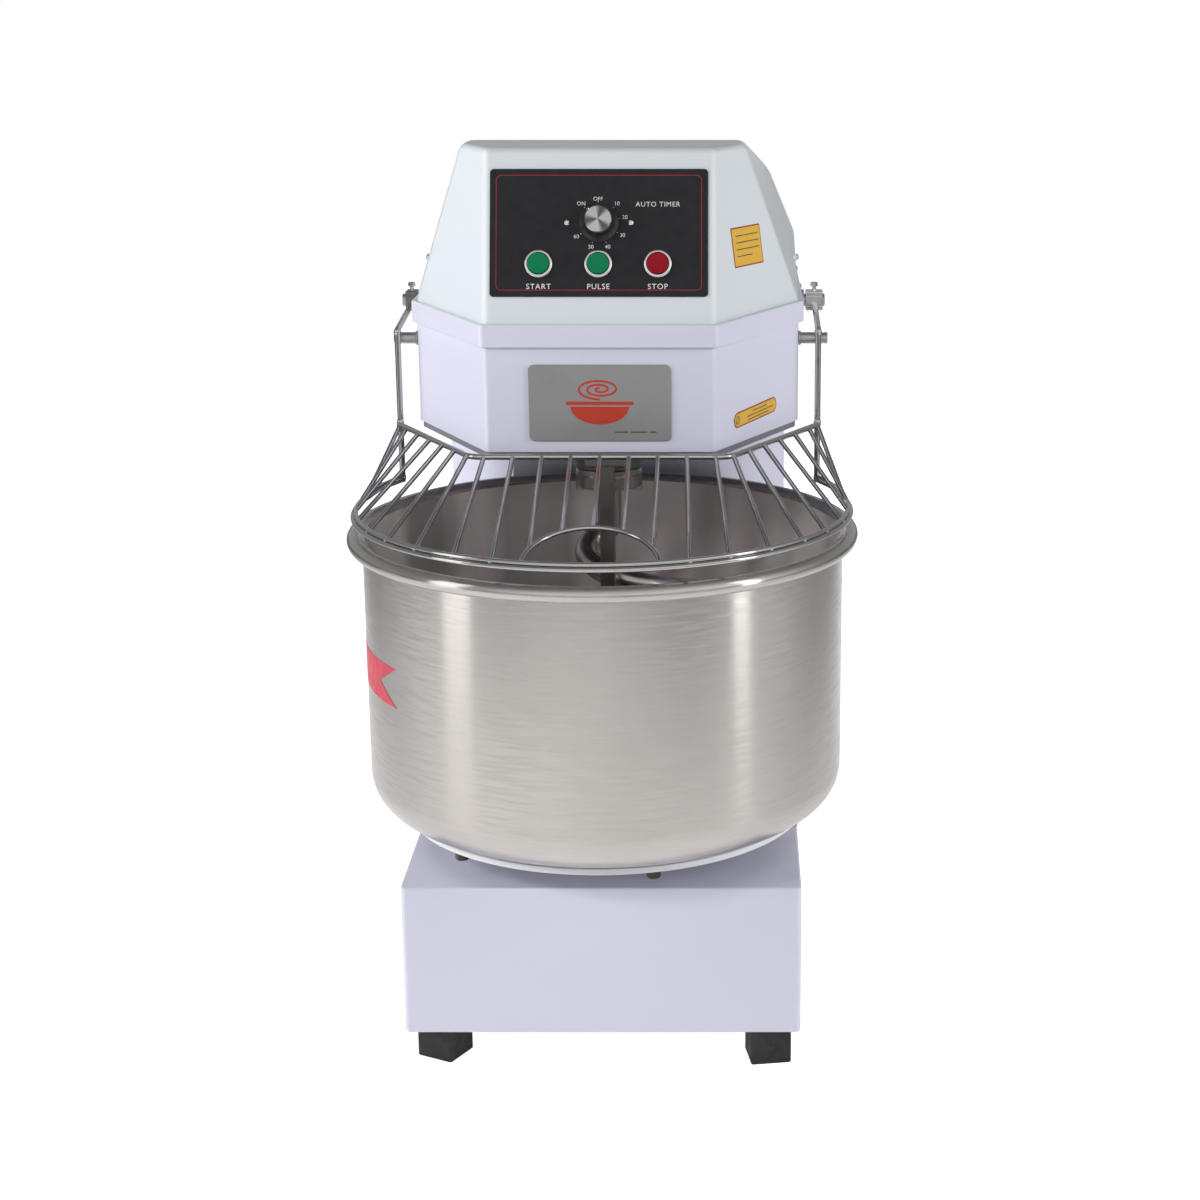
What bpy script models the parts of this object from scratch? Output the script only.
"""Spiral dough mixer: bowl on a turntable, spiral hook and breaker bar under a head, wire guard.

The frame: +Z up, floor at z = 0, front towards -Y. Every length along Y is measured from the bowl's
axis, and the whole machine hangs on an empty that puts the middle of its box at the origin.
"""

import math

import bmesh
import bpy
from mathutils import Matrix, Vector

# --- driving dimensions, metres ---
GAP = 0.0003
BOWL_AXIS_Y = -0.150
REAR = 0.556

FOOT_SIDE = 0.043
FOOT_HEIGHT = 0.0394
FRONT_FEET = ((-0.1702, -0.1148, -28.0), (0.1737, -0.1238, 9.0))
REAR_FEET = ((-0.172, 0.505, 0.0), (0.172, 0.505, 0.0))

BASE_HALF = 0.2075
BASE_FRONT = -0.152
BASE_BOTTOM = FOOT_HEIGHT + GAP
BASE_TOP = 0.2018
BASE_CORNER = 0.006
SHEET = 0.004

BOWL_RADIUS = 0.252
BOWL_SHEET = 0.0025
BOWL_CORNER = 0.042
BOWL_BOTTOM = 0.2515
RIM_RADIUS = 0.2595
RIM_TUBE = 0.0085
RIM_HEIGHT = 0.5444
TURNTABLE_RADIUS = 0.214
TURNTABLE_BOTTOM = 0.241
TURNTABLE_TOP = BOWL_BOTTOM - 2 * GAP
TURNTABLE_BOLTS = 6
BOLT_CIRCLE = 0.2045
BOLT_FIRST = -74.0

COLUMN_FRONT = 0.278
COLUMN_FRONT_HALF = 0.120
COLUMN_HALF = 0.198
COLUMN_CHAMFER = 0.338

HEAD_FRONT = -0.034
HEAD_FRONT_HALF = 0.1174
HEAD_HALF = 0.208
HEAD_CHAMFER = 0.143
HEAD_BOTTOM = 0.6353
PLATE_BOTTOM = 0.6273
COVER_BASE = 0.768
COVER_TOP = 0.9405
LIP_OUT = 0.0056
LIP_BOTTOM = 0.7445
COVER_WALL = 0.004
TOP_FRONT = 0.02244
TOP_FRONT_HALF = 0.1175
TOP_SHOULDER_HALF = 0.148
TOP_REAR = 0.133
TOP_REAR_HALF = 0.146
SIDE_EDGE = (0.1753, 0.290, 0.9005)
SIDE_WALL_TOP = 0.820
SIDE_WALL_FRONT = 0.340
REAR_WALL_TOP = 0.806
REAR_TOP = (0.164, 0.826)

PANEL_LEAN = math.atan((TOP_FRONT - HEAD_FRONT) / (COVER_TOP - COVER_BASE))
PANEL_RISE = 0.0266
PANEL_SIZE = (0.222, 0.131)
PANEL_THICK = 0.002
BUTTON_LINE = 0.0332
BUTTONS = (("start", -0.0612, "green"), ("pulse", -0.0005, "green"), ("stop", 0.0600, "red"))
BEZEL_RADIUS = 0.01465
BARREL_RADIUS = 0.0128
CAP_RADIUS = 0.0109
KNOB_LINE = 0.0757
KNOB_SKIRT = 0.0202
KNOB_DISC = 0.0148
KNOB_STEM = 0.003

NAMEPLATE = (0.1455, 0.0790)
NAMEPLATE_HEIGHT = 0.687

SPINDLE_Y = 0.125
HOUSING_RADIUS = 0.0415
HOUSING_BOTTOM = 0.589
FLANGE_RADIUS = 0.0368
SHAFT_RADIUS = 0.0145
HOOK_TOP = 0.5742
COIL_TOP = 0.520
COIL_DROP = 0.235
COIL_TURNS = 1.6
COIL_BEND = 1.45
COIL_START = 100.0
COIL_RADIUS = 0.100
HOOK_BAR = 0.0130

BAR_X = 0.005
BAR_Y = -0.012
BAR_SIZE = (0.015, 0.028)
BAR_BOTTOM = 0.272

PIVOT_Y = 0.265
PIVOT_Z = 0.751
PIVOT_SHAFT = 0.007
BUSH_RADIUS = 0.012
PIVOT_HOLE = BUSH_RADIUS + GAP
CLAMP_X = 0.2290
CLAMP_SIZE = (0.021, 0.024, 0.025)
ARM_X = 0.2295
ARM_Y = 0.1385
ARM_TOP = 0.7356
ROD = 0.0033
REST_PIN_Y = 0.150
REST_PIN_Z = 0.7254
REST_PIN = 0.0062
BAR_Z = 0.634
BAR_FLAT_Y = -0.050
BAR_FLAT_HALF = 0.133
TOP_ROD = 0.0031
RING_Z = 0.5685
RING_RADIUS = 0.2603
RING_ROD = 0.0026
UPPER_RING_RISE = 0.0044
UPPER_RING_IN = 0.0030
RIB_ROD = 0.0025
FLAT_RIBS = 9
FLAT_RIB_STEP = 0.0297
SIDE_RIBS = (
    (0.0, 42.0), (0.17, 53.0), (0.34, 63.0), (0.52, 74.0), (0.70, 84.0), (0.88, 93.5), (0.985, 99.0),
)
ARCH_HALF = 0.067
ARCH_RISE = 0.357

MOTOR_Y = 0.420
MOTOR_RADIUS = 0.075
MOTOR_SPAN = (0.360, 0.590)
MOTOR_SHAFT = 0.012
SPINDLE_PULLEY = 0.120
MOTOR_TOP_PULLEY = 0.030
UPPER_BELT = (0.690, 0.712)
COUNTER_Y = 0.270
COUNTER_PULLEY = 0.110
MOTOR_LOW_PULLEY = 0.025
COUNTER_SHAFT = 0.0125
LOWER_BELT = (0.140, 0.158)
BOWL_SPROCKET = 0.125
COUNTER_SPROCKET = 0.025
CHAIN = (0.076, 0.086)
BELT_THICK = 0.008
BOWL_SHAFT = 0.025
BOWL_HUB = 0.0302
BEARING_NECK = 0.048
BEARING_FLANGE = 0.075

PAINTS = {
    "white_paint": ((0.66, 0.67, 0.76), 0.38, 0.0),
    "cover_white": ((0.66, 0.72, 0.76), 0.42, 0.0),
    "gray_paint": ((0.24, 0.25, 0.27), 0.5, 0.0),
    "panel_black": ((0.018, 0.018, 0.02), 0.35, 0.0),
    "plate_silver": ((0.42, 0.42, 0.43), 0.4, 0.6),
    "green": ((0.003, 0.16, 0.065), 0.35, 0.0),
    "red": ((0.33, 0.008, 0.015), 0.35, 0.0),
    "chrome": ((0.75, 0.75, 0.76), 0.12, 1.0),
    "stainless": ((0.58, 0.56, 0.54), 0.28, 1.0),
    "dark_steel": ((0.22, 0.21, 0.20), 0.35, 1.0),
    "bolt_steel": ((0.35, 0.34, 0.31), 0.4, 1.0),
    "rubber": ((0.02, 0.02, 0.022), 0.8, 0.0),
    "machined": ((0.45, 0.45, 0.46), 0.35, 1.0),
    "motor_blue": ((0.05, 0.09, 0.16), 0.5, 0.0),
    "black_plastic": ((0.02, 0.02, 0.02), 0.45, 0.0),
}


# --- helpers ---
def clear_scene():
    for obj in list(bpy.data.objects):
        bpy.data.objects.remove(obj)


def material(name):
    found = bpy.data.materials.get(name)
    if found:
        return found
    color, rough, metal = PAINTS[name]
    made = bpy.data.materials.new(name)
    made.use_nodes = True
    shader = made.node_tree.nodes["Principled BSDF"]
    shader.inputs["Base Color"].default_value = (*color, 1.0)
    shader.inputs["Roughness"].default_value = rough
    shader.inputs["Metallic"].default_value = metal
    made.diffuse_color = (*color, 1.0)
    return made


def empty(name, location, parent=None, rotation=(0.0, 0.0, 0.0)):
    obj = bpy.data.objects.new(name, None)
    obj.location = location
    obj.rotation_euler = rotation
    obj.parent = parent
    bpy.context.scene.collection.objects.link(obj)
    return obj


def place(name, bm, paint, parent, location=(0.0, 0.0, 0.0), rotation=(0.0, 0.0, 0.0)):
    """A bmesh as a named object in its parent's space, with its faces pointing out."""
    bmesh.ops.recalc_face_normals(bm, faces=bm.faces)
    mesh = bpy.data.meshes.new(name)
    bm.to_mesh(mesh)
    bm.free()
    mesh.shade_smooth()
    mesh.set_sharp_from_angle(angle=math.radians(35))
    if paint:
        mesh.materials.append(material(paint))
    obj = bpy.data.objects.new(name, mesh)
    obj.location = location
    obj.rotation_euler = rotation
    obj.parent = parent
    bpy.context.scene.collection.objects.link(obj)
    return obj


def combine(obj, bm, operation="DIFFERENCE", location=(0.0, 0.0, 0.0), rotation=(0.0, 0.0, 0.0), parent=None,
            crossing=False):
    """Cuts a shape from an object, or joins it on. The shape is in the space of the object's parent."""
    index = len(obj.modifiers)
    tool = place(f"{obj.name}_tool_{index}", bm, None, parent or obj.parent, location, rotation)
    tool.hide_render = True
    tool.display_type = "WIRE"
    boolean = obj.modifiers.new(f"boolean_{index}", "BOOLEAN")
    boolean.operation = operation
    boolean.solver = "EXACT"
    boolean.object = tool
    boolean.use_self = crossing


def merged(shapes):
    """Several bmeshes as one, their shells still crossing each other."""
    whole = bmesh.new()
    for shape in shapes:
        bmesh.ops.recalc_face_normals(shape, faces=shape.faces)
        copies = {vert: whole.verts.new(vert.co) for vert in shape.verts}
        for face in shape.faces:
            whole.faces.new([copies[vert] for vert in face.verts])
        shape.free()
    return whole


def prism(outline, bottom, top):
    bm = bmesh.new()
    face = bm.faces.new([bm.verts.new((x, y, bottom)) for x, y in outline])
    raised = bmesh.ops.extrude_face_region(bm, geom=[face])["geom"]
    verts = [item for item in raised if isinstance(item, bmesh.types.BMVert)]
    bmesh.ops.translate(bm, vec=(0.0, 0.0, top - bottom), verts=verts)
    return bm


def tube(outer, inner, bottom, top):
    """An upright wall between two outlines of the same number of points, open at both ends."""
    bm = bmesh.new()
    rings = [
        [bm.verts.new((x, y, z)) for x, y in outline]
        for outline, z in ((outer, bottom), (outer, top), (inner, top), (inner, bottom))
    ]
    count = len(outer)
    for ring, following in zip(rings, rings[1:] + rings[:1]):
        for i in range(count):
            j = (i + 1) % count
            bm.faces.new((ring[i], ring[j], following[j], following[i]))
    return bm


def turned(profile, steps):
    """A closed profile of (radius, z) points turned round Z. Points at radius 0 become poles."""
    bm = bmesh.new()
    rings = []
    for radius, z in profile:
        if radius < 1e-6:
            rings.append([bm.verts.new((0.0, 0.0, z))])
            continue
        angles = [2 * math.pi * i / steps for i in range(steps)]
        rings.append([bm.verts.new((radius * math.cos(a), radius * math.sin(a), z)) for a in angles])
    for ring, following in zip(rings, rings[1:] + rings[:1]):
        if len(ring) == 1 and len(following) == 1:
            continue
        for i in range(steps):
            j = (i + 1) % steps
            corners = [ring[i % len(ring)], ring[j % len(ring)]]
            corners += [following[j % len(following)], following[i % len(following)]]
            bm.faces.new(list(dict.fromkeys(corners)))
    return bm


def tube_round(outer, inner, low, high, steps):
    """A round wall with a bore right through it."""
    return turned(((inner, low), (outer, low), (outer, high), (inner, high)), steps)


def cylinder(radius, low, high, axis="Z", steps=32, centre=(0.0, 0.0)):
    """A plain cylinder from low to high along an axis; centre is its place on the two other axes."""
    bm = turned(((0.0, low), (radius, low), (radius, high), (0.0, high)), steps)
    if axis == "X":
        matrix = Matrix.Rotation(math.pi / 2, 4, "Y")
        shift = (0.0, centre[0], centre[1])
    else:
        matrix = Matrix.Identity(4)
        shift = (centre[0], centre[1], 0.0)
    bmesh.ops.transform(bm, matrix=Matrix.Translation(shift) @ matrix, verts=bm.verts)
    return bm


def box(low, high):
    bm = bmesh.new()
    bmesh.ops.create_cube(bm, size=1.0)
    size = [b - a for a, b in zip(low, high)]
    middle = [(a + b) / 2 for a, b in zip(low, high)]
    matrix = Matrix.Translation(middle) @ Matrix.Diagonal((*size, 1.0))
    bmesh.ops.transform(bm, matrix=matrix, verts=bm.verts)
    return bm


def rounded_rectangle(width, height, radius, steps=4, low=0.0):
    """An outline centred on x = 0, standing on y = low."""
    points = []
    corners = ((1, 1, 0), (-1, 1, 90), (-1, -1, 180), (1, -1, 270))
    for sx, sy, start in corners:
        cx = sx * (width / 2 - radius)
        cy = low + height / 2 + sy * (height / 2 - radius)
        for i in range(steps + 1):
            angle = math.radians(start + 90 * i / steps)
            points.append((cx + radius * math.cos(angle), cy + radius * math.sin(angle)))
    return points


def offset(outline, distance):
    """A convex outline, anticlockwise, moved out by a distance."""
    moved = []
    count = len(outline)
    for i in range(count):
        before, here, after = (Vector(outline[(i + k - 1) % count]) for k in range(3))
        first = (here - before).normalized()
        second = (after - here).normalized()
        normals = Vector((first.y, -first.x)), Vector((second.y, -second.x))
        bisector = (normals[0] + normals[1]).normalized()
        moved.append(here + bisector * (distance / bisector.dot(normals[0])))
    return [(p.x, p.y) for p in moved]


def rounded_path(points, radius, steps=5):
    """A polyline whose inner corners are replaced by arcs of a radius."""
    points = [Vector(p) for p in points]
    path = [points[0]]
    for before, here, after in zip(points, points[1:], points[2:]):
        back = (before - here).normalized()
        on = (after - here).normalized()
        half = back.angle(on) / 2
        reach = radius / math.tan(half)
        centre = here + (back + on).normalized() * (radius / math.sin(half))
        start = (here + back * reach - centre).normalized()
        end = (here + on * reach - centre).normalized()
        path += [centre + start.slerp(end, i / steps) * radius for i in range(steps + 1)]
    return path + [points[-1]]


def rod(path, radius, sides=8, radii=None):
    """A round rod swept along a path, with flat ends."""
    path = [Vector(p) for p in path]
    bm = bmesh.new()
    tangents = [(b - a).normalized() for a, b in zip(path, path[1:])]
    tangents = [tangents[0]] + [(a + b).normalized() for a, b in zip(tangents, tangents[1:])] + [tangents[-1]]
    side = tangents[0].orthogonal().normalized()
    rings = []
    for i, (point, tangent) in enumerate(zip(path, tangents)):
        side = (side - tangent * side.dot(tangent)).normalized()
        up = tangent.cross(side)
        here = radii[i] if radii else radius
        angles = [2 * math.pi * k / sides for k in range(sides)]
        rings.append([bm.verts.new(point + (side * math.cos(a) + up * math.sin(a)) * here) for a in angles])
    for ring, following in zip(rings, rings[1:]):
        for k in range(sides):
            j = (k + 1) % sides
            bm.faces.new((ring[k], ring[j], following[j], following[k]))
    bm.faces.new(rings[0])
    bm.faces.new(rings[-1])
    return bm


def stadium(first, first_radius, second, second_radius, out, steps=10):
    """The outline of a belt round two circles on the Y axis, anticlockwise, at a distance out from them."""
    lean = math.asin((first_radius - second_radius) / (second - first))
    points = []
    for centre, radius, middle, half in (
        (second, second_radius, math.pi / 2, math.pi / 2 - lean),
        (first, first_radius, -math.pi / 2, math.pi / 2 + lean),
    ):
        reach = (radius + out) / math.cos(half / steps)
        for i in range(steps + 1):
            angle = middle - half + 2 * half * i / steps
            points.append((reach * math.cos(angle), centre + reach * math.sin(angle)))
    return points


def nosed(front, front_half, half, chamfer, rear):
    """The plan of the head and the column: a flat front, two chamfers and a square rear."""
    right = [(front_half, front), (half, chamfer), (half, rear)]
    return right + [(-x, y) for x, y in reversed(right)]


# --- base, column and head ---
def make_feet(parent):
    names = ("front_left", "front_right", "rear_left", "rear_right")
    half = FOOT_SIDE / 2
    for name, (x, y, turn) in zip(names, FRONT_FEET + REAR_FEET):
        bm = box((-half, -half, 0.0), (half, half, FOOT_HEIGHT))
        sides = [e for e in bm.edges if abs(e.verts[0].co.z - e.verts[1].co.z) > half]
        bmesh.ops.bevel(bm, geom=sides, offset=0.003, segments=2, affect="EDGES")
        place(f"foot_{name}", bm, "rubber", parent, (x, y, 0.0), (0.0, 0.0, math.radians(turn)))


def make_base(parent):
    outline = rounded_rectangle(2 * BASE_HALF, REAR - BASE_FRONT, BASE_CORNER, 3, BASE_FRONT)
    casing = place("base_casing", prism(outline, BASE_BOTTOM, BASE_TOP), "white_paint", parent)
    combine(casing, prism(offset(outline, -SHEET), BASE_BOTTOM - 0.01, BASE_TOP - SHEET))
    combine(casing, cylinder(BEARING_NECK + 0.0005, BASE_TOP - 0.02, BASE_TOP + 0.02))
    hole = [(-0.12, 0.36), (0.12, 0.36), (0.12, 0.48), (-0.12, 0.48)]
    combine(casing, prism(hole, BASE_TOP - 0.02, BASE_TOP + 0.02))
    floor = offset(outline, -SHEET - GAP)
    place("base_floor_plate", prism(floor, BASE_BOTTOM, BASE_BOTTOM + 0.005), "gray_paint", parent)
    profile = (
        (BOWL_SHAFT + GAP, 0.145), (BEARING_NECK, 0.145), (BEARING_NECK, BASE_TOP + GAP),
        (BEARING_FLANGE, BASE_TOP + GAP), (BEARING_FLANGE, 0.212), (0.052, 0.216), (0.052, 0.236),
        (BOWL_SHAFT + GAP, 0.236),
    )
    place("bowl_bearing_housing", turned(profile, 24), "machined", parent)


def make_column(parent):
    outer = nosed(COLUMN_FRONT, COLUMN_FRONT_HALF, COLUMN_HALF, COLUMN_CHAMFER, REAR)
    low, high = BASE_TOP + GAP, PLATE_BOTTOM - GAP
    column = place("column_casing", tube(outer, offset(outer, -SHEET), low, high), "white_paint", parent)
    combine(column, box((-0.165, REAR - 0.02, 0.235), (0.165, REAR + 0.02, 0.595)))
    cover = rounded_rectangle(0.370, 0.400, 0.008, 3, 0.215)
    rear = place("rear_cover", prism(cover, 0.0, SHEET), "white_paint", parent,
                 (0.0, REAR + SHEET + GAP, 0.0), (math.pi / 2, 0.0, 0.0))
    for row in range(6):
        z = 0.300 + row * 0.018
        combine(rear, box((-0.060, REAR - 0.01, z), (0.060, REAR + 0.02, z + 0.006)))
    combine(rear, cylinder(0.0078, -0.02, 0.02, steps=16), location=(0.120, REAR, 0.255),
            rotation=(math.pi / 2, 0.0, 0.0))
    gland = turned(((0.0045, -0.010), (0.0075, -0.010), (0.0075, 0.0046), (0.011, 0.0046),
                    (0.011, 0.009), (0.008, 0.012), (0.0045, 0.012)), 16)
    place("cable_gland", gland, "black_plastic", parent, (0.120, REAR, 0.255), (-math.pi / 2, 0.0, 0.0))


def head_plan(out=0.0):
    return offset(nosed(HEAD_FRONT, HEAD_FRONT_HALF, HEAD_HALF, HEAD_CHAMFER, REAR), out)


def make_head(parent):
    outer = head_plan()
    shell = place("head_shell", tube(outer, head_plan(-SHEET), HEAD_BOTTOM, 0.7645), "white_paint", parent)
    combine(shell, cylinder(PIVOT_HOLE, -0.3, 0.3, "X", 24, (PIVOT_Y, PIVOT_Z)))
    plate = place("head_bottom_plate", prism(head_plan(-0.003), PLATE_BOTTOM, HEAD_BOTTOM - GAP),
                  "gray_paint", parent)
    combine(plate, cylinder(0.024, 0.6, 0.7, steps=24, centre=(0.0, SPINDLE_Y)))
    combine(plate, cylinder(0.030, 0.6, 0.7, steps=24, centre=(0.0, MOTOR_Y)))
    badge = rounded_rectangle(*NAMEPLATE, 0.006, 4, NAMEPLATE_HEIGHT - NAMEPLATE[1] / 2)
    place("nameplate", prism(badge, 0.0, 0.0018), "plate_silver", parent,
          (0.0, HEAD_FRONT - GAP, 0.0), (math.pi / 2, 0.0, 0.0))


def cover_hull(inward=0.0):
    """The cover above its lip: the hull of its corners, highest in front and falling away to the rear."""
    slope = (HEAD_CHAMFER - HEAD_FRONT) / (HEAD_HALF - HEAD_FRONT_HALF)
    shoulder = TOP_FRONT + (TOP_SHOULDER_HALF - TOP_FRONT_HALF) * slope
    low = COVER_BASE - (0.01 if inward else 0.0)
    half = HEAD_HALF - inward
    back = REAR - inward
    front_foot = Vector((HEAD_FRONT_HALF - inward * 0.6, HEAD_FRONT + inward, low))
    side_foot = Vector((half, HEAD_CHAMFER + inward * 0.3, low))
    edge_x, edge_y, edge_z = SIDE_EDGE
    side_edge = Vector((edge_x - inward, edge_y, edge_z - inward * 0.7))
    corners = [
        front_foot, side_foot, side_edge, Vector((half, back, low)),
        Vector((half, SIDE_WALL_FRONT, SIDE_WALL_TOP - inward * 0.5)),
        Vector((half, back, REAR_WALL_TOP - inward * 0.5)),
        Vector((REAR_TOP[0] - inward, back, REAR_TOP[1] - inward)),
    ]
    top = ((TOP_FRONT_HALF, TOP_FRONT), (TOP_SHOULDER_HALF, shoulder), (TOP_REAR_HALF, TOP_REAR))
    plan = offset(list(top) + [(-x, y) for x, y in reversed(top)], -inward)
    for inset, drop in ((0.0115, 0.0), (0.0052, 0.0012), (0.0012, 0.0040)):
        corners += [Vector((x, y, COVER_TOP - inward - drop)) for x, y in offset(plan, -inset)[:3]]
    for (x, y), foot in zip(plan, (front_foot, side_foot, side_edge)):
        edge = Vector((x, y, COVER_TOP - inward))
        corners.append(edge.lerp(foot, 0.0104 / (edge.z - foot.z)))
    bm = bmesh.new()
    for corner in corners:
        bm.verts.new(corner)
        bm.verts.new((-corner.x, corner.y, corner.z))
    hull = bmesh.ops.convex_hull(bm, input=bm.verts)
    loose = [item for item in hull["geom_interior"] if isinstance(item, bmesh.types.BMVert)]
    bmesh.ops.delete(bm, geom=loose, context="VERTS")
    bmesh.ops.dissolve_limit(bm, angle_limit=math.radians(1.0), verts=bm.verts, edges=bm.edges)
    return bm


def make_cover(parent, panel):
    cover = place("top_cover", cover_hull(), "cover_white", parent)
    lip = prism(head_plan(LIP_OUT), LIP_BOTTOM, COVER_BASE + 0.0001)
    combine(cover, lip, "UNION")
    combine(cover, prism(head_plan(GAP), LIP_BOTTOM - 0.01, COVER_BASE - 0.003))
    combine(cover, cover_hull(COVER_WALL))
    combine(cover, cylinder(PIVOT_HOLE, -0.3, 0.3, "X", 24, (PIVOT_Y, PIVOT_Z)))
    for _, x, _ in BUTTONS:
        combine(cover, cylinder(BARREL_RADIUS + GAP, -0.03, 0.03, steps=16, centre=(x, BUTTON_LINE)),
                parent=panel)
    combine(cover, cylinder(KNOB_STEM + 0.001, -0.03, 0.03, steps=12, centre=(0.0, KNOB_LINE)), parent=panel)


# --- controls: local y runs up the leaning face, local z out of it ---
def make_controls(panel):
    plate = rounded_rectangle(*PANEL_SIZE, 0.004, 3)
    board = place("control_panel", prism(plate, GAP, GAP + PANEL_THICK), "panel_black", panel)
    face = PANEL_THICK + 2 * GAP
    for name, x, paint in BUTTONS:
        hole = cylinder(BARREL_RADIUS + GAP, -0.03, 0.03, steps=16, centre=(x, BUTTON_LINE))
        combine(board, hole)
        bore = CAP_RADIUS + GAP
        bezel = turned(((bore, -0.025), (BARREL_RADIUS, -0.025), (BARREL_RADIUS, face), (BEZEL_RADIUS, face),
                        (BEZEL_RADIUS, face + 0.003), (BEZEL_RADIUS - 0.0015, face + 0.0045),
                        (bore, face + 0.0045)), 20)
        place(f"{name}_bezel", bezel, "chrome", panel, (x, BUTTON_LINE, 0.0))
        cap = turned(((0.0, -0.018), (CAP_RADIUS, -0.018), (CAP_RADIUS, face + 0.0065),
                      (CAP_RADIUS - 0.001, face + 0.0075), (0.0, face + 0.0075)), 20)
        place(f"{name}_button", cap, paint, panel, (x, BUTTON_LINE, 0.0))
    combine(board, cylinder(KNOB_STEM + 0.001, -0.03, 0.03, steps=12, centre=(0.0, KNOB_LINE)))
    low, high = face + 0.0008, face + 0.0200
    knob = turned(((0.0, -0.020), (KNOB_STEM, -0.020), (KNOB_STEM, low), (KNOB_SKIRT, low),
                   (KNOB_SKIRT, low + 0.0022), (KNOB_DISC + 0.0015, low + 0.0052),
                   (KNOB_DISC, high), (0.0, high)), 24)
    place("timer_knob", knob, "black_plastic", panel, (0.0, KNOB_LINE, 0.0))
    body = place("timer_body", box((-0.024, KNOB_LINE - 0.026, -0.050), (0.024, KNOB_LINE + 0.010, -0.010)),
                 "gray_paint", panel)
    combine(body, cylinder(KNOB_STEM + GAP, -0.021, 0.03, steps=16, centre=(0.0, KNOB_LINE)))


# --- bowl ---
def bowl_profile():
    """The bowl's section: outer side up from the bottom, round the rim, and down the inside."""
    outer, inner = [(0.0, BOWL_BOTTOM)], [(0.0, BOWL_BOTTOM + BOWL_SHEET)]
    centre = BOWL_RADIUS - BOWL_CORNER, BOWL_BOTTOM + BOWL_CORNER
    for i in range(5):
        angle = math.radians(-90 + 22.5 * i)
        for side, radius in ((outer, BOWL_CORNER), (inner, BOWL_CORNER - BOWL_SHEET)):
            side.append((centre[0] + radius * math.cos(angle), centre[1] + radius * math.sin(angle)))
    rim = []
    for i in range(9):
        angle = math.radians(-150 + 300 * i / 8)
        rim.append((RIM_RADIUS + RIM_TUBE * math.cos(angle), RIM_HEIGHT + RIM_TUBE * math.sin(angle)))
    rim[-1] = (BOWL_RADIUS - BOWL_SHEET, RIM_HEIGHT + RIM_TUBE * 0.55)
    return outer + rim + inner[::-1]


def make_bowl(pivot):
    place("bowl", turned(bowl_profile(), 40), "stainless", pivot)
    plate = tube_round(TURNTABLE_RADIUS, BOWL_HUB + GAP, TURNTABLE_BOTTOM, TURNTABLE_TOP, 40)
    disc = place("turntable", plate, "white_paint", pivot)
    shank = 0.004
    for i in range(TURNTABLE_BOLTS):
        angle = math.radians(BOLT_FIRST + 360 * i / TURNTABLE_BOLTS)
        x, y = BOLT_CIRCLE * math.cos(angle), BOLT_CIRCLE * math.sin(angle)
        combine(disc, cylinder(shank + GAP, 0.2, 0.3, steps=8, centre=(x, y)))
        head = TURNTABLE_BOTTOM - GAP
        bolt = turned(((0.0, head - 0.0085), (0.0085, head - 0.0085), (0.0085, head), (shank, head),
                       (shank, TURNTABLE_TOP), (0.0, TURNTABLE_TOP)), 8)
        place(f"turntable_bolt_{i + 1}", bolt, "bolt_steel", pivot, (x, y, 0.0))
    shaft = turned(((0.0, 0.060), (BOWL_SHAFT, 0.060), (BOWL_SHAFT, 0.2385), (BOWL_HUB, 0.2385),
                    (BOWL_HUB, TURNTABLE_TOP), (0.0, TURNTABLE_TOP)), 24)
    place("bowl_shaft", shaft, "machined", pivot)
    place("bowl_sprocket", tube_round(BOWL_SPROCKET, BOWL_SHAFT + GAP, *CHAIN, 32), "dark_steel", pivot)


# --- spindle, hook and breaker bar ---
def hook_path():
    """The hook's centre line: a straight shank that opens into a widening coil."""
    path = [Vector((0.0, 0.0, HOOK_TOP - 0.004)), Vector((0.0, 0.0, COIL_TOP + 0.016))]
    count = 34
    for i in range(count + 1):
        s = i / count
        angle = math.radians(COIL_START + 360 * COIL_TURNS * s)
        grow = min(s / 0.55, 1.0)
        radius = COIL_RADIUS * grow * grow * (3 - 2 * grow)
        z = COIL_TOP - COIL_DROP * s ** COIL_BEND
        path.append(Vector((radius * math.cos(angle), radius * math.sin(angle), z)))
    return path


def make_spindle(parent, pivot):
    housing = turned(((SHAFT_RADIUS + 0.005, HOUSING_BOTTOM), (HOUSING_RADIUS, HOUSING_BOTTOM),
                      (HOUSING_RADIUS, PLATE_BOTTOM - GAP), (0.0235, PLATE_BOTTOM - GAP), (0.0235, 0.665),
                      (SHAFT_RADIUS + 0.005, 0.665)), 24)
    place("spindle_housing", housing, "dark_steel", parent, (0.0, SPINDLE_Y, 0.0))
    shaft = turned(((0.0, HOOK_TOP + 0.0073), (FLANGE_RADIUS, HOOK_TOP + 0.0073),
                    (FLANGE_RADIUS, HOUSING_BOTTOM - 0.0005), (SHAFT_RADIUS, HOUSING_BOTTOM - 0.0005),
                    (SHAFT_RADIUS, 0.730), (0.0, 0.730)), 24)
    place("spindle_shaft", shaft, "dark_steel", pivot)
    pulley = tube_round(SPINDLE_PULLEY, SHAFT_RADIUS + GAP, *UPPER_BELT, 28)
    place("spindle_pulley", pulley, "machined", pivot)
    path = hook_path()
    taper = [HOOK_BAR * min(1.0, 0.55 + 0.09 * (len(path) - 1 - i)) for i in range(len(path))]
    hook = place("spiral_hook", rod(path, HOOK_BAR, 8, taper), "stainless", pivot)
    combine(hook, cylinder(FLANGE_RADIUS, HOOK_TOP - 0.007, HOOK_TOP + 0.007, steps=24), "UNION")


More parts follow.
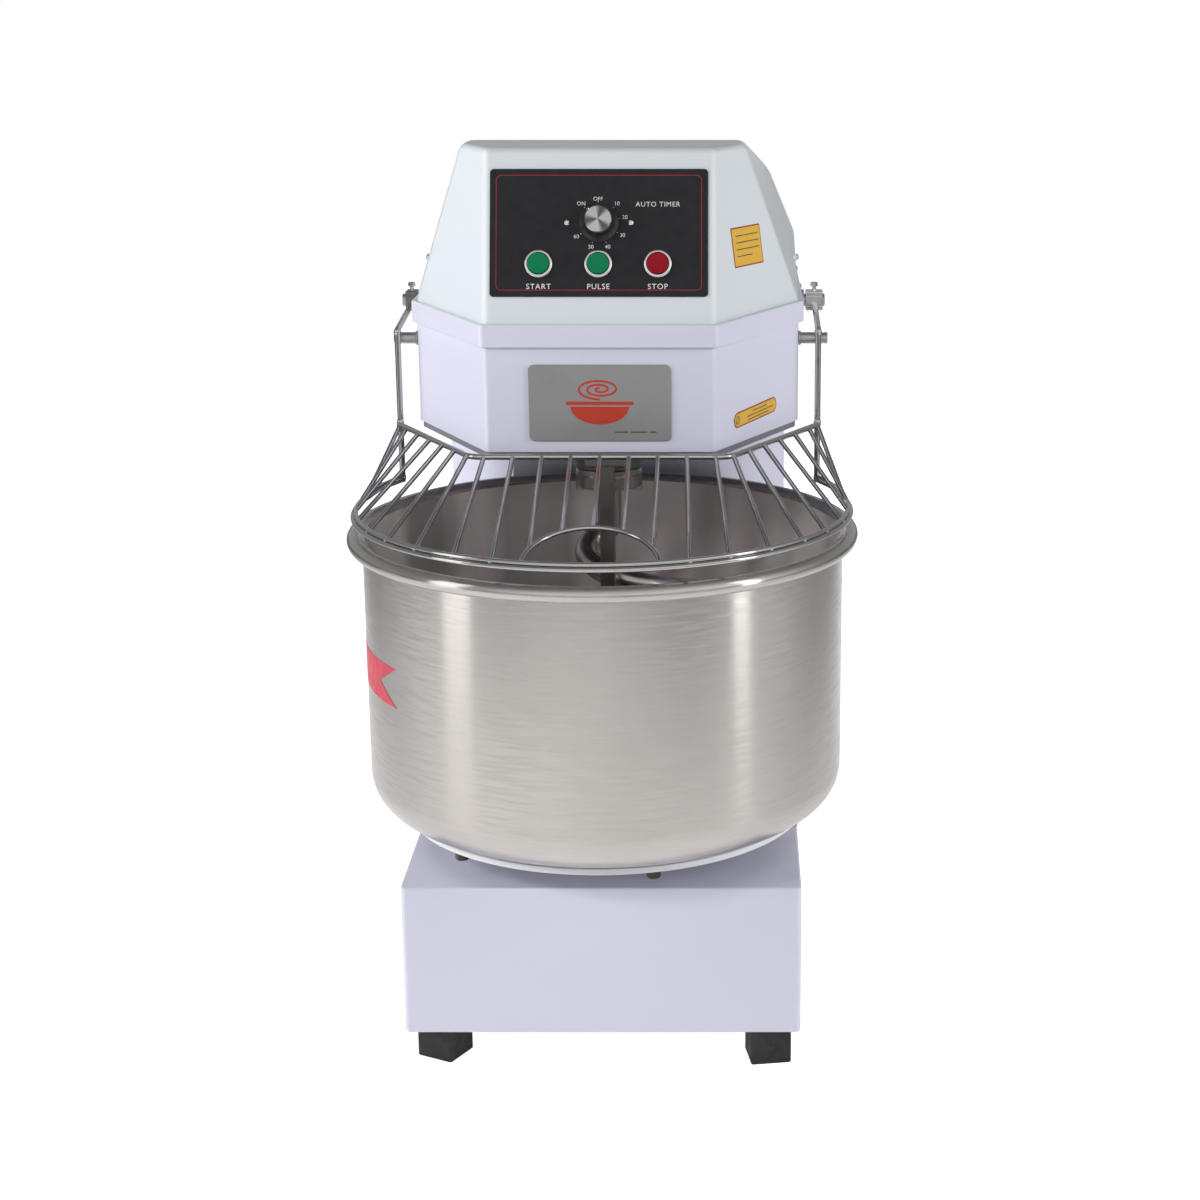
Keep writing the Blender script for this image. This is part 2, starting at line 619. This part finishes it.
def make_breaker_bar(parent):
    half_x, half_y = (side / 2 for side in BAR_SIZE)
    bm = box((BAR_X - half_x, BAR_Y - half_y, BAR_BOTTOM), (BAR_X + half_x, BAR_Y + half_y, 0.624))
    bar = place("breaker_bar", bm, "dark_steel", parent)
    flange = box((BAR_X - 0.022, BAR_Y - 0.020, 0.6195), (BAR_X + 0.022, BAR_Y + 0.024, PLATE_BOTTOM - GAP))
    combine(bar, flange, "UNION")


# --- guard: local to the pivot's axis ---
def on_guard(x, y, z):
    return Vector((x, y - PIVOT_Y, z - PIVOT_Z))


def arm_path(side):
    x = side * ARM_X
    start = (x, PIVOT_Y - PIVOT_SHAFT - 0.001, PIVOT_Z - 0.004)
    points = (start, (x, ARM_Y, ARM_TOP), (x, ARM_Y, RING_Z - 0.0015))
    return rounded_path([on_guard(*p) for p in points], 0.006)


def top_bar_path():
    end_y = ARM_Y - 0.004
    right = ((BAR_FLAT_HALF, BAR_FLAT_Y, BAR_Z), (ARM_X + 0.001, end_y, BAR_Z - 0.002))
    points = [(-x, y, z) for x, y, z in reversed(right)] + list(right)
    return rounded_path([on_guard(*p) for p in points], 0.020, 4)


def ring_path(radius, rise, count=26):
    """A ring wire: an arc round the front of the bowl, then straight in to the two arms."""
    start, end = math.radians(168), math.radians(372)
    arc = []
    for i in range(count + 1):
        angle = start + (end - start) * i / count
        arc.append(on_guard(radius * math.cos(angle), radius * math.sin(angle), RING_Z + rise))
    side = [on_guard(s * (0.249 + radius - RING_RADIUS), 0.0925, RING_Z + rise) for s in (-1, 1)]
    tip = [on_guard(s * ARM_X, ARM_Y, RING_Z + rise) for s in (-1, 1)]
    return [tip[0], side[0]] + arc + [side[1], tip[1]]


def arch_point(t):
    """A point on the feed arch, t from 0 to 1 along it, in the sloping plane of the front ribs."""
    angle = math.pi * t
    x = -ARCH_HALF * math.cos(angle)
    foot_y = -math.sqrt(RING_RADIUS ** 2 - x ** 2)
    climb = ARCH_RISE * math.sin(angle)
    return on_guard(x, foot_y + climb * (BAR_FLAT_Y - foot_y), RING_Z + climb * (BAR_Z - RING_Z))


def rib_ends():
    """Top and bottom of each rib: nine on the bar's flat front, then seven down each side."""
    bar = top_bar_path()
    for i in range(FLAT_RIBS):
        x = (i - (FLAT_RIBS - 1) / 2) * FLAT_RIB_STEP
        top = on_guard(x, BAR_FLAT_Y, BAR_Z)
        if abs(x) < ARCH_HALF:
            yield top, arch_point(0.5 + math.asin(x / ARCH_HALF) / math.pi)
            continue
        angle = math.radians(21.5 if abs(x) < 0.1 else 31.0) * math.copysign(1, x)
        yield top, ring_foot(angle)
    corner = on_guard(BAR_FLAT_HALF + 0.004, BAR_FLAT_Y + 0.006, BAR_Z)
    end = bar[-1]
    for side in (-1, 1):
        for along, degrees in SIDE_RIBS:
            top = corner.lerp(end, along)
            top.x *= side
            yield top, ring_foot(math.radians(degrees) * side)


def ring_foot(angle):
    """A point on the ring, the angle counted from its front."""
    radius = RING_RADIUS - UPPER_RING_IN / 2
    return on_guard(radius * math.sin(angle), -radius * math.cos(angle), RING_Z + UPPER_RING_RISE / 2)


def make_guard(parent, pivot):
    cage = place("guard_cage", rod(top_bar_path(), TOP_ROD, 6), "stainless", pivot)
    wires = [rod(arm_path(side), ROD, 6) for side in (-1, 1)]
    wires += [rod(ring_path(RING_RADIUS, 0.0), RING_ROD, 6)]
    wires += [rod(ring_path(RING_RADIUS - UPPER_RING_IN, UPPER_RING_RISE), RING_ROD, 6)]
    wires += [rod([arch_point(0.02 + 0.96 * i / 12) for i in range(13)], RIB_ROD, 6)]
    wires += [rod((top, foot), RIB_ROD, 6) for top, foot in rib_ends()]
    combine(cage, merged(wires), "UNION", crossing=True)
    half = Vector(CLAMP_SIZE) / 2
    for name, side in (("left", -1), ("right", 1)):
        centre = Vector((side * CLAMP_X, 0.0, 0.0))
        clamp = place(f"guard_clamp_{name}", box(centre - half, centre + half), "gray_paint", pivot)
        combine(clamp, cylinder(PIVOT_SHAFT + GAP, -0.3, 0.3, "X", 24))
        combine(clamp, rod(arm_path(side)[:2], ROD + GAP))
    shaft = cylinder(PIVOT_SHAFT, -CLAMP_X - half.x, CLAMP_X + half.x, "X", 24)
    place("guard_pivot_shaft", shaft, "machined", pivot)
    for name, side, end in (("left", -1, 0.2345), ("right", 1, 0.2400)):
        low, high = sorted((side * (HEAD_HALF + GAP), side * end))
        pin = cylinder(REST_PIN, low, high, "X", 20, (REST_PIN_Y, REST_PIN_Z))
        place(f"rest_pin_{name}", pin, "gray_paint", parent)
        low, high = sorted((side * 0.200, side * 0.2172))
        bush = tube_round(BUSH_RADIUS, PIVOT_SHAFT + GAP, low, high, 16)
        place(f"pivot_bush_{name}", bush, "machined", parent, (0.0, PIVOT_Y, PIVOT_Z),
              (0.0, math.pi / 2, 0.0))


# --- drive ---
def make_belt(name, parent, span, first, first_radius, second, second_radius, paint):
    inner = stadium(first, first_radius, second, second_radius, 0.0006)
    outer = stadium(first, first_radius, second, second_radius, BELT_THICK)
    place(name, tube(outer, inner, *span), paint, parent)


def make_drive(parent, motor, counter):
    housing = tube_round(MOTOR_RADIUS, MOTOR_SHAFT + GAP, *MOTOR_SPAN, 24)
    place("motor_housing", housing, "motor_blue", parent, (0.0, MOTOR_Y, 0.0))
    bracket = place("motor_bracket", box((-0.185, 0.345, 0.352), (0.185, 0.535, MOTOR_SPAN[0] - GAP)),
                    "gray_paint", parent)
    combine(bracket, cylinder(0.030, 0.3, 0.4, steps=24, centre=(0.0, MOTOR_Y)))
    place("motor_shaft", cylinder(MOTOR_SHAFT, 0.120, 0.722, steps=24), "machined", motor)
    pulleys = (("upper", MOTOR_TOP_PULLEY, UPPER_BELT), ("lower", MOTOR_LOW_PULLEY, LOWER_BELT))
    for name, radius, span in pulleys:
        pulley = tube_round(radius, MOTOR_SHAFT + GAP, *span, 24)
        place(f"motor_pulley_{name}", pulley, "machined", motor)
    make_belt("spindle_belt", parent, UPPER_BELT, SPINDLE_Y, SPINDLE_PULLEY, MOTOR_Y, MOTOR_TOP_PULLEY,
              "rubber")
    make_belt("countershaft_belt", parent, LOWER_BELT, COUNTER_Y, COUNTER_PULLEY, MOTOR_Y,
              MOTOR_LOW_PULLEY, "rubber")
    make_belt("bowl_chain", parent, CHAIN, 0.0, BOWL_SPROCKET, COUNTER_Y, COUNTER_SPROCKET, "dark_steel")
    shaft = turned(((0.0, 0.0465), (COUNTER_SHAFT, 0.0465), (COUNTER_SHAFT, CHAIN[0]),
                    (COUNTER_SPROCKET, CHAIN[0]), (COUNTER_SPROCKET, CHAIN[1]), (COUNTER_SHAFT, CHAIN[1]),
                    (COUNTER_SHAFT, 0.170), (0.0, 0.170)), 16)
    place("countershaft", shaft, "machined", counter)
    pulley = tube_round(COUNTER_PULLEY, COUNTER_SHAFT + GAP, *LOWER_BELT, 28)
    place("countershaft_pulley", pulley, "machined", counter)
    block = tube_round(0.035, COUNTER_SHAFT + GAP, 0.0460, 0.070, 24)
    place("countershaft_bearing", block, "machined", parent, (0.0, COUNTER_Y, 0.0))
    contactor = box((-0.1935, 0.470, 0.400), (-0.130, 0.535, 0.480))
    place("contactor", contactor, "black_plastic", parent)
    switch = box((0.168, 0.252, 0.705), (0.190, 0.278, PIVOT_Z - PIVOT_SHAFT - 0.001))
    place("guard_microswitch", switch, "black_plastic", parent)


def main():
    clear_scene()
    machine = empty("machine", (0.0, BOWL_AXIS_Y, 0.0))
    rise = COVER_BASE + PANEL_RISE
    lean = HEAD_FRONT + PANEL_RISE * math.tan(PANEL_LEAN)
    panel = empty("panel_frame", (0.0, lean, rise), machine, (math.pi / 2 - PANEL_LEAN, 0.0, 0.0))
    bowl = empty("bowl_pivot", (0.0, 0.0, 0.0), machine)
    spindle = empty("spindle_pivot", (0.0, SPINDLE_Y, 0.0), machine)
    motor = empty("motor_pivot", (0.0, MOTOR_Y, 0.0), machine)
    counter = empty("countershaft_pivot", (0.0, COUNTER_Y, 0.0), machine)
    guard = empty("guard_pivot", (0.0, PIVOT_Y, PIVOT_Z), machine)
    bpy.context.view_layer.update()
    make_feet(machine)
    make_base(machine)
    make_column(machine)
    make_head(machine)
    make_cover(machine, panel)
    make_controls(panel)
    make_bowl(bowl)
    make_spindle(machine, spindle)
    make_breaker_bar(machine)
    make_guard(machine, guard)
    make_drive(machine, motor, counter)


main()
